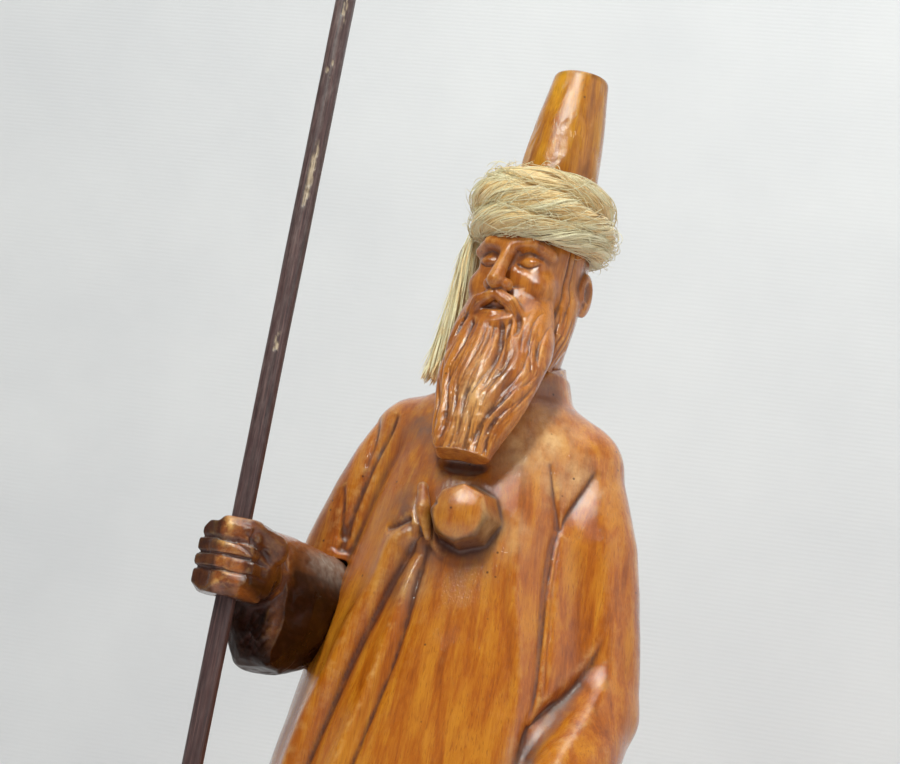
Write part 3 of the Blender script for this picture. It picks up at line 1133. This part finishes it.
def lay_fibres(bundle, rng, hank):
    """Fine fibres lying on the hank and straying from it."""
    share = np.linspace(0, 1, 22)
    for n in range(int(330 / COARSE)):
        span = rng.uniform(0.3, 1.5)
        begin = rng.uniform(0, 2 * np.pi)
        piece = np.linspace(begin, begin + span, len(share))
        around = rng.uniform(0, 2 * np.pi) + hank[-1] * piece
        around = around + 0.5 * np.sin(piece * rng.uniform(1, 4) + begin)
        lift = 1.04 + 0.05 * np.sin(piece * 5 + begin) + rng.uniform(0, 0.05)
        if rng.random() < 0.3:
            lift = lift + share**3 * rng.uniform(0.1, 0.5)
        around = around + share**2 * rng.uniform(-1.2, 1.2)
        path = hank_path(hank, piece, around, lift)
        bundle.lay(path, rng.uniform(0.06, 0.13), 3, rng.uniform(0.5, 1.3), taper=0.2)


def lay_broken_ends(bundle, rng, hank):
    """Short ends curling out of the hank."""
    share = np.linspace(0, 1, 12)
    for n in range(int(150 / COARSE)):
        place, around = rng.uniform(0, 2 * np.pi), rng.uniform(0, 2 * np.pi)
        turn = place + share * rng.uniform(-0.35, 0.35)
        swirl = around + share * rng.uniform(-1.0, 1.0)
        lift = 1.0 + np.sin(share * math.pi * rng.uniform(0.6, 1.2)) * rng.uniform(0.08, 0.42)
        path = hank_path(hank, turn, swirl, lift)
        bundle.lay(path, rng.uniform(0.05, 0.10), 3, rng.uniform(0.7, 1.3), taper=0.2)


def build_turban(material):
    rng = np.random.default_rng(61)
    bundle = Bundle()
    for hank in HANKS:
        lay_locks(bundle, rng, hank)
        lay_fibres(bundle, rng, hank)
        lay_broken_ends(bundle, rng, hank)
    bundle.build("turban_hank", material, ("turban_wrap",))


def build_tail(material):
    rng = np.random.default_rng(71)
    bundle = Bundle()
    stations = rounded([(-14.8, 3.0, 312.0), (-16.8, 2.6, 304.0), (-17.6, 2.2, 295.0), (-18.4, 1.8, 286.0),
                        (-19.4, 0.8, 277.0), (-20.6, 0.0, 269.0)], 8)
    share = np.linspace(0, 1, len(stations))
    guide = (0.1, 0.99, 0.05)
    wide = 2.0 + 0.9 * share + 0.35 * np.sin(share * 7)
    deep = 3.0 + 0.9 * share
    bundle.lay(stations, 1.9, 10, 0.3, taper=0.04, guide=guide)
    for n in range(int(52 / COARSE)):
        phase = rng.uniform(0, 2 * np.pi, 3)
        swirl = phase[0] + 1.3 * share + 0.5 * np.sin(share * 5 + phase[1])
        swell = np.sqrt(rng.uniform(0.35, 1.0)) + 0.07 * np.sin(share * 11 + phase[2])
        path = stations.copy()
        path[:, 0] += wide * swell * np.cos(swirl)
        path[:, 1] += deep * swell * np.sin(swirl)
        path[:, 2] -= share**4 * rng.uniform(-1.0, 1.2)
        bundle.lay(path, rng.uniform(0.28, 0.46), 6, rng.uniform(0.35, 1.0), taper=0.05, guide=guide)
    for n in range(int(170 / COARSE)):
        begin = rng.uniform(0, 0.7)
        piece = np.linspace(begin, min(begin + rng.uniform(0.2, 0.5), 1.0), 14)
        middle = np.stack([np.interp(piece, share, stations[:, k]) for k in range(3)], 1)
        around = rng.uniform(0, 2 * np.pi) + 1.5 * piece
        lift = 1.05 + rng.uniform(0, 0.15)
        if rng.random() < 0.35:
            lift = lift + np.linspace(0, 1, len(piece)) ** 3 * rng.uniform(0, 0.7)
        middle[:, 0] += 2.6 * lift * np.cos(around)
        middle[:, 1] += 3.5 * lift * np.sin(around)
        bundle.lay(middle, rng.uniform(0.06, 0.13), 3, rng.uniform(0.5, 1.2), taper=0.2, guide=guide)
    bundle.build("turban_end", material, ("turban_tail",))


# ---------------------------------------------------------------- materials
class Looks:
    """A node material being wired up."""

    def __init__(self, name):
        self.material = bpy.data.materials.new(name)
        self.material.use_nodes = True
        self.tree = self.material.node_tree
        self.tree.nodes.clear()

    def node(self, kind, inputs=None, **settings):
        """Adds a node; inputs are values or sockets by name or number."""
        node = self.tree.nodes.new("ShaderNode" + kind)
        for key, value in settings.items():
            setattr(node, key, value)
        for key, value in (inputs or {}).items():
            if isinstance(value, bpy.types.NodeSocket):
                self.tree.links.new(value, node.inputs[key])
            else:
                node.inputs[key].default_value = value
        return node

    def math(self, operation, a, b, clamp=False):
        return self.node("Math", {0: a, 1: b}, operation=operation, use_clamp=clamp).outputs[0]

    def times(self, a, b, clamp=False):
        return self.math("MULTIPLY", a, b, clamp)

    def plus(self, a, b, clamp=False):
        return self.math("ADD", a, b, clamp)

    def less(self, a, b):
        """a without b, down to 0."""
        return self.math("SUBTRACT", a, b, clamp=True)

    def spread(self, value, low, high, to_low=0.0, to_high=1.0):
        """Rescales a value from one range to another, clamped."""
        return self.node("MapRange", {0: value, 1: low, 2: high, 3: to_low, 4: to_high}).outputs[0]

    def mix(self, share, a, b, kind="MIX"):
        node = self.node("Mix", {0: share}, data_type="RGBA", blend_type=kind)
        for key, value in ((6, a), (7, b)):
            if isinstance(value, bpy.types.NodeSocket):
                self.tree.links.new(value, node.inputs[key])
            else:
                node.inputs[key].default_value = (*value, 1)
        return node.outputs[2]

    def ramp(self, value, stops):
        node = self.node("ValToRGB", {0: value})
        elements = node.color_ramp.elements
        while len(elements) < len(stops):
            elements.new(0.5)
        for element, (place, colour) in zip(elements, stops):
            element.position = place
            element.color = (*colour, 1)
        return node.outputs[0]

    def place(self, scale=(1, 1, 1)):
        """Object coordinates stretched by three scales."""
        coordinates = self.node("TexCoord").outputs["Object"]
        return self.node("Mapping", {"Vector": coordinates, "Scale": scale}).outputs[0]

    def noise(self, vector, scale, detail=4.0, rough=0.55, twist=0.0):
        wiring = {"Vector": vector, "Scale": scale, "Detail": detail, "Roughness": rough, "Distortion": twist}
        return self.node("TexNoise", wiring).outputs[0]

    def attribute(self, name):
        return self.node("Attribute", attribute_name=name).outputs["Fac"]

    def bump(self, height, distance, strength=1.0, normal=None):
        wiring = {"Height": height, "Distance": distance, "Strength": strength}
        if normal is not None:
            wiring["Normal"] = normal
        return self.node("Bump", wiring).outputs[0]

    def finish(self, wiring):
        shader = self.node("BsdfPrincipled", wiring)
        self.node("OutputMaterial", {0: shader.outputs[0]})
        return self.material


def grained_colour(looks, shifted, plain, light, middle, dark, fine):
    """Bands along the fibres, blotches and dark hairlines."""
    bands = looks.noise(shifted, 260.0, 5.0, 0.6, 0.6)
    blotch = looks.noise(plain, 42.0, 3.0, 0.55)
    figure = looks.plus(looks.times(bands, 0.62), looks.times(fine, 0.20))
    figure = looks.plus(figure, looks.times(blotch, 0.30))
    wood = looks.ramp(figure, [(0.38, dark), (0.52, middle), (0.66, light)])
    hairlines = looks.spread(looks.noise(shifted, 3400.0, 2.0, 0.5), 0.57, 0.70, 0.0, 0.45)
    return looks.mix(hairlines, wood, dark)


def varnished_wood(name, grain, light, middle, dark, seed):
    """Oiled and varnished carving wood; grain is three scales that stretch its figure along the fibres."""
    looks = Looks(name)
    along, plain = looks.place(grain), looks.place()
    shifted = looks.node("Mapping", {"Vector": along, "Location": (seed, seed * 0.7, seed * 1.3)}).outputs[0]
    fine = looks.noise(shifted, 1900.0, 3.0, 0.6)
    patchy = looks.noise(plain, 330.0, 5.0, 0.65)
    cloud = looks.noise(plain, 110.0, 4.0, 0.6)
    groove, stain = looks.attribute("groove"), looks.attribute("stain")
    wood = grained_colour(looks, shifted, plain, light, middle, dark, fine)
    wood = looks.mix(stain, wood, (0.10, 0.10, 0.17), "MULTIPLY")
    # varnish gone brown and hazy, or milky and pale
    milky = looks.times(looks.attribute("haze"), looks.spread(cloud, 0.32, 0.60, 0.15, 1.0), clamp=True)
    wood = looks.mix(milky, wood, (0.215, 0.098, 0.062))
    clouded = looks.times(looks.attribute("clouded"), looks.spread(patchy, 0.3, 0.62, 0.35, 1.0), clamp=True)
    wood = looks.mix(clouded, wood, (0.900, 0.560, 0.260))
    # dirt in the grooves, bare wood on worn edges, dark specks
    dirt = looks.times(groove, looks.spread(patchy, 0.25, 0.6, 0.55, 1.1), clamp=True)
    wood = looks.mix(looks.times(dirt, 0.85, clamp=True), wood, (0.075, 0.026, 0.020))
    worn = looks.times(looks.attribute("edge"), looks.spread(patchy, 0.45, 0.7, 0.0, 0.55), clamp=True)
    wood = looks.mix(looks.times(worn, looks.less(1.0, stain)), wood, (0.86, 0.47, 0.14))
    specks = looks.node("TexVoronoi", {"Vector": plain, "Scale": 190.0}).outputs["Distance"]
    wood = looks.mix(looks.spread(specks, 0.035, 0.075, 0.75, 0.0), wood, (0.03, 0.012, 0.01))
    # pale dust caught where hollows face upwards
    upward = looks.node("SeparateXYZ", {0: looks.node("NewGeometry").outputs["Normal"]}).outputs[2]
    lying = looks.times(looks.spread(upward, 0.35, 0.95), looks.spread(groove, 0.05, 0.7))
    lying = looks.plus(lying, looks.attribute("dust"))
    dust = looks.times(lying, looks.spread(patchy, 0.3, 0.65, 0.25, 0.85), clamp=True)
    wood = looks.mix(dust, wood, (0.40, 0.35, 0.30))
    # deep stain and dust have dulled the varnish
    dulled = looks.times(looks.math("POWER", stain, 3.0), 0.85)
    film = looks.noise(plain, 95.0, 4.0, 0.6)
    pores = looks.noise(looks.place(tuple(0.3 + 0.7 * share for share in grain)), 3200.0, 2.0, 0.6)
    fibres = looks.bump(fine, 0.00006, 0.4)
    ripple = looks.noise(plain, 520.0, 3.0, 0.6)
    wavy = looks.noise(plain, 700.0, 4.0, 0.7)
    dry = looks.times(dust, 0.5)
    return looks.finish({
        "Base Color": wood,
        "Roughness": looks.plus(looks.spread(film, 0.3, 0.75, 0.22, 0.46), dry, clamp=True),
        "Normal": looks.bump(ripple, 0.00010, 0.3, looks.bump(pores, 0.00005, 0.5, fibres)),
        "IOR": 1.45,
        "Specular IOR Level": 0.08,
        "Coat Weight": looks.less(looks.less(1.0, dust), dulled),
        "Coat Roughness": looks.plus(looks.spread(film, 0.35, 0.75, 0.04, 0.14), looks.times(milky, 0.18)),
        "Coat Normal": looks.bump(pores, 0.00016, 0.7, looks.bump(wavy, 0.00014, 0.4)),
        "Coat IOR": 1.56,
    })


def staff_wood():
    looks = Looks("dark_stained_rod")
    along = looks.place((1, 1, 0.03))
    fibre = looks.noise(along, 2600.0, 4.0, 0.65)
    broad = looks.noise(along, 500.0, 4.0, 0.6)
    browns = [(0.32, (0.022, 0.010, 0.011)), (0.55, (0.075, 0.031, 0.030)), (0.72, (0.190, 0.100, 0.088))]
    wood = looks.ramp(fibre, browns)
    wood = looks.mix(looks.spread(broad, 0.45, 0.75, 0.0, 0.5), wood, (0.100, 0.040, 0.034))
    dusty = looks.spread(looks.noise(looks.place((1, 1, 0.3)), 900.0, 4.0, 0.7), 0.45, 0.75, 0.05, 0.35)
    up_the_rod = looks.node("SeparateXYZ", {0: looks.place()}).outputs[2]
    dusty = looks.times(dusty, looks.spread(up_the_rod, 0.20, 0.34, 0.3, 1.1))
    wood = looks.mix(dusty, wood, (0.36, 0.28, 0.25))
    bare = looks.times(looks.attribute("bare"), looks.spread(fibre, 0.3, 0.62, 0.1, 1.3), clamp=True)
    wood = looks.mix(bare, wood, (0.56, 0.42, 0.28))
    return looks.finish({
        "Base Color": wood,
        "Roughness": looks.spread(fibre, 0.3, 0.7, 0.32, 0.62),
        "Normal": looks.bump(fibre, 0.00012, 0.8),
        "Coat Weight": 0.25,
        "Coat Roughness": 0.3,
    })


def jute_fibre():
    looks = Looks("jute_fibre")
    plain = looks.place()
    mottled = looks.noise(plain, 420.0, 4.0, 0.6)
    fine = looks.noise(plain, 3800.0, 3.0, 0.6)
    shade = looks.plus(looks.times(looks.attribute("tone"), 0.55), looks.times(mottled, 0.55))
    straws = [(0.22, (0.400, 0.215, 0.075)), (0.45, (1.0, 0.720, 0.340)), (0.72, (1.0, 0.920, 0.620))]
    straw = looks.ramp(shade, straws)
    straw = looks.mix(looks.spread(fine, 0.35, 0.65, 0.0, 0.30), straw, (0.42, 0.28, 0.12))
    return looks.finish({
        "Base Color": straw,
        "Roughness": looks.spread(mottled, 0.3, 0.7, 0.32, 0.6),
        "Normal": looks.bump(fine, 0.0001, 0.5),
        "Sheen Weight": 0.3,
        "Sheen Roughness": 0.4,
    })


def bare_dowel():
    looks = Looks("bare_dowel_wood")
    fibre = looks.noise(looks.place((1, 1, 0.05)), 2200.0, 4.0, 0.6)
    wood = looks.ramp(fibre, [(0.35, (0.42, 0.28, 0.14)), (0.65, (0.72, 0.56, 0.36))])
    return looks.finish({
        "Base Color": wood,
        "Roughness": looks.spread(fibre, 0.3, 0.7, 0.55, 0.8),
        "Normal": looks.bump(fibre, 0.0001, 0.6),
    })


def zinc_steel():
    looks = Looks("zinc_plated_steel")
    spangle = looks.noise(looks.place(), 900.0, 4.0, 0.6)
    brushed = looks.noise(looks.place((1, 0.06, 1)), 3000.0, 3.0, 0.6)
    metal = looks.ramp(spangle, [(0.35, (0.42, 0.43, 0.45)), (0.65, (0.66, 0.67, 0.68))])
    return looks.finish({
        "Base Color": metal,
        "Metallic": 1.0,
        "Roughness": looks.spread(spangle, 0.3, 0.7, 0.25, 0.45),
        "Normal": looks.bump(brushed, 0.00004, 0.5),
    })


# ---------------------------------------------------------------- marks of age, by place
def patches(surface, places):
    """Largest of several round patches on the front half: places are (x, z, reach, strength)."""
    seen = surface.v[:, [0, 2]]
    shares = [strength * bell(seen, (x, z), reach) for x, z, reach, strength in places]
    return np.max(shares, axis=0) * (surface.v[:, 1] < -4)


def robe_marks(surface):
    x, y, z = surface.v.T
    # brown stain settled in the varnish
    brown = [(-5, 243, 11, 1), (-13, 232, 8, 1), (4, 263, 6, 1), (-16, 254, 9, 1), (-11, 216, 6, 1),
             (-6, 222, 6, 1), (4, 221, 6, 1), (15, 268, 7, 1), (6, 247, 5, 1)]
    # varnish gone milky and pale
    pale = [(13, 253, 8, 0.95), (20, 247, 6, 0.7), (8, 245, 4, 0.3), (12, 229, 4.5, 0.6), (27, 245, 5, 0.4),
            (-8, 215, 4, 0.3)]
    clouded = patches(surface, pale) * (0.4 + smooth_noise(surface.v, 2.6, 44))
    # the sides and underside of the knot are stained dark
    from_knot = np.hypot(x - 1.6, z - 231.2)
    knot = rise(y, -34.2, 1.2) * rise(from_knot, 5.4, 0.6) * rise(from_knot, 10.2, -2.4)
    knot = 0.8 * knot * np.clip((236 - z) / 5.0, 0.15, 1) * (y < -20)
    # dust in the crook of the left arm and on the right shoulder
    crook = 0.6 * bell(surface.v, (22.6, -30.0, 176.0), (1.5, 7.0, 8.0))
    shoulder = 0.7 * bell(surface.v, (-28.5, -3.0, 247.0), (3.0, 6.0, 8.0)) * smooth_noise(surface.v, 1.6, 46)
    return {"haze": patches(surface, brown), "clouded": np.clip(clouded, 0, 0.85), "stain": knot,
            "dust": np.maximum(crook, shoulder)}


def forearm_marks(surface):
    x, y, z = surface.v.T
    # the sleeve darkens downwards, but less along its front edge
    sleeve = 1.15 * rise(z, 221.0, -9.0) * rise(y, -47.0, 5.0) * (0.88 + 0.22 * rise(z, 210.0, -6.0))
    edge = bell(surface.v[:, :2], (-35.4, -38.6), 2.6) * rise(z, 189.0, 8.0)
    sleeve = sleeve * (1 - 0.62 * edge) * (0.84 + 0.34 * smooth_noise(surface.v, 2.2, 14))
    # the fist darkens to its left, in the palm and underneath
    outside = 0.72 * rise(x, -44.8, -1.2)
    palm = rise(x, -39.5, 2.5) * (0.55 + 0.35 * rise(z, 210.0, -4.0))
    under = 0.85 * rise(z, 203.4, -1.5)
    fist = np.max([outside, palm, under], axis=0) * (y < -41)
    tip = 1.6 * bell(surface.v, (-45.0, -56.2, 217.6), 2.4)
    knuckle = 0.9 * bell(surface.v, (-42.5, -57.0, 205.0), 3.0)
    ledge = 1.5 * bell(surface.v, (-32.6, -15.0, 216.6), (4.0, 11.0, 4.0))
    return {"stain": np.clip(np.maximum(sleeve, fist), 0, 1), "worn": tip + knuckle, "dust": ledge}


def head_marks(surface):
    """Varnish gone pale on the middle of the beard."""
    pale = 0.75 * bell(surface.v, (-1.0, -33.0, 261.0), (5.0, 9.0, 12.0))
    return {"clouded": np.clip(pale * (0.25 + smooth_noise(surface.v, 2.2, 47)), 0, 0.8)}


def cap_marks(surface):
    """Stain round the top and bottom of the cap, and in patches between."""
    z = surface.v[:, 2]
    ends = rise(z, CAP_TOP - 1.5, 2.0) + rise(z, CAP_SEAT + 11, -11.0)
    stain = 0.60 * ends * (0.30 + smooth_noise(surface.v, 2.6, 43))
    between = 0.35 * (smooth_noise(surface.v, 4.0, 45) - 0.55)
    return {"stain": np.clip(stain + between, 0, 0.6)}


# ---------------------------------------------------------------- build the pieces
# each wood: name, grain, light, middle and dark colour, seed
body_wood = varnished_wood("varnished_body_wood", (1, 1, 0.07), (0.65, 0.232, 0.016), (0.48, 0.120, 0.006),
                           (0.25, 0.048, 0.004), 3.0)
head_wood = varnished_wood("varnished_head_wood", (1, 1, 0.09), (0.605, 0.204, 0.024), (0.405, 0.107, 0.011),
                           (0.20, 0.045, 0.007), 11.0)
arm_wood = varnished_wood("varnished_arm_wood", (1, 0.10, 1), (0.36, 0.098, 0.014), (0.20, 0.048, 0.009),
                          (0.085, 0.019, 0.006), 17.0)
cap_wood = varnished_wood("varnished_cap_wood", (1, 1, 0.06), (0.73, 0.318, 0.014), (0.48, 0.159, 0.007),
                          (0.22, 0.054, 0.005), 23.0)
plinth_wood = varnished_wood("satin_plinth_wood", (0.06, 1, 1), (0.40, 0.150, 0.040), (0.27, 0.088, 0.024),
                             (0.15, 0.044, 0.014), 29.0)

robe, arm, head, cap = sculpt_body_surface(), sculpt_forearm_surface(), carve_head(), sculpt_cap()
wood_object("carved_robe", robe, body_wood, "varnished_wood", ("carved_body",), **robe_marks(robe))
wood_object("carved_forearm", arm, arm_wood, "varnished_wood", ("right_forearm",), **forearm_marks(arm))
wood_object("carved_head", head, head_wood, "varnished_wood", ("head",), **head_marks(head))
wood_object("turned_cap", cap, cap_wood, "varnished_wood", ("cap",), **cap_marks(cap))
wood_object("oval_plinth", skin(sculpt_plinth()), plinth_wood, "plinth_wood", ("plinth",))
build_staff(staff_wood())
jute = jute_fibre()
build_turban(jute)
build_tail(jute)


def dress(node, material):
    """Gives a CAD node that stays visible its own material."""
    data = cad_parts[node].data
    data.materials.clear()
    data.materials.append(material)


dowel_wood = bare_dowel()
dress("neck_dowel", dowel_wood)
dress("forearm_dowel", dowel_wood)
dress("base_screws", zinc_steel())


# ---------------------------------------------------------------- floor, lights, camera
def pale_board():
    looks = Looks("pale_board")
    plain = looks.place()
    weave = looks.node("TexWave", {"Vector": plain, "Scale": 190.0, "Distortion": 0.6, "Detail": 2.0},
                       wave_type="BANDS", bands_direction="Z").outputs["Fac"]
    soft = looks.noise(plain, 14.0, 3.0, 0.5)
    colour = looks.ramp(soft, [(0.3, (0.737, 0.722, 0.737)), (0.7, (0.800, 0.782, 0.790))])
    front = looks.node("BsdfPrincipled", {"Base Color": colour, "Roughness": 0.55,
                                          "Normal": looks.bump(weave, 0.0004, 0.06)})
    clear = looks.node("BsdfTransparent")
    behind = looks.node("NewGeometry").outputs["Backfacing"]
    both = looks.node("MixShader", {0: behind, 1: front.outputs[0], 2: clear.outputs[0]})
    looks.node("OutputMaterial", {0: both.outputs[0]})
    return looks.material


def build_backdrop():
    """Floor that curves up into a wall behind the figure; seen from behind, the wall is clear."""
    wall_y, bend, front_y, top, half = 0.30, 0.16, -1.2, 1.1, 1.2
    profile = [(front_y, 0.0), (-0.4, 0.0), (wall_y - bend, 0.0)]
    for step in range(1, 17):
        angle = math.pi / 2 * step / 16
        profile.append((wall_y - bend + bend * math.sin(angle), bend - bend * math.cos(angle)))
    profile.append((wall_y, top))
    vertices, faces = [], []
    for y, z in profile:
        vertices += [(-half, y, z), (half, y, z)]
    for n in range(len(profile) - 1):
        faces.append((2 * n, 2 * n + 1, 2 * n + 3, 2 * n + 2))
    mesh = bpy.data.meshes.new("backdrop")
    mesh.from_pydata(vertices, [], faces)
    for polygon in mesh.polygons:
        polygon.use_smooth = True
    mesh.materials.append(pale_board())
    backdrop = bpy.data.objects.new("backdrop", mesh)
    bpy.context.scene.collection.objects.link(backdrop)


def softbox(name, place, aim, width, height, power, colour=(1, 1, 1)):
    light = bpy.data.lights.new(name, "AREA")
    light.shape = "RECTANGLE"
    light.size, light.size_y, light.energy, light.color = width, height, power, colour
    holder = bpy.data.objects.new(name, light)
    holder.location = place
    holder.rotation_euler = (Vector(aim) - Vector(place)).to_track_quat("-Z", "Y").to_euler()
    bpy.context.scene.collection.objects.link(holder)


build_backdrop()
softbox("window", (-0.09, -0.76, 0.96), (0, 0, 0.28), 0.13, 0.40, 8.0, (0.92, 1.0, 0.95))
softbox("side_panel", (0.85, -0.25, 0.55), (0, 0, 0.24), 0.70, 0.90, 1.8, (1.0, 0.99, 0.98))
softbox("ceiling", (0.02, -0.12, 1.20), (0, 0, 0.22), 0.55, 0.50, 3.2)

world = bpy.data.worlds.new("studio")
world.use_nodes = True
world.node_tree.nodes["Background"].inputs[0].default_value = (0.86, 0.87, 0.89, 1)
world.node_tree.nodes["Background"].inputs[1].default_value = 0.21
bpy.context.scene.world = world

# millimetres and metres, seen a little from below and from the figure's left, with the camera rolled
LENS, FILM = 89.6, 36.0
AZIMUTH, ELEVATION, ROLL = math.radians(17), math.radians(-12), math.radians(10.4)
AIM = Vector((-0.016, 0.0, 0.269))
DISTANCE = 0.560
level = math.cos(ELEVATION)
back = Vector((math.sin(AZIMUTH) * level, -math.cos(AZIMUTH) * level, math.sin(ELEVATION)))
right = Vector((math.cos(AZIMUTH), math.sin(AZIMUTH), 0))
up = back.cross(right)
camera = bpy.data.objects.new("camera", bpy.data.cameras.new("camera"))
camera.data.lens, camera.data.sensor_width = LENS, FILM
camera.data.clip_start = 0.01
side = right * math.cos(ROLL) + up * math.sin(ROLL)
top = up * math.cos(ROLL) - right * math.sin(ROLL)
place = AIM + back * DISTANCE
camera.matrix_world = Matrix(((side.x, top.x, back.x, place.x), (side.y, top.y, back.y, place.y),
                              (side.z, top.z, back.z, place.z), (0, 0, 0, 1)))
bpy.context.scene.collection.objects.link(camera)
bpy.context.scene.camera = camera
bpy.context.scene.view_settings.view_transform = "Standard"
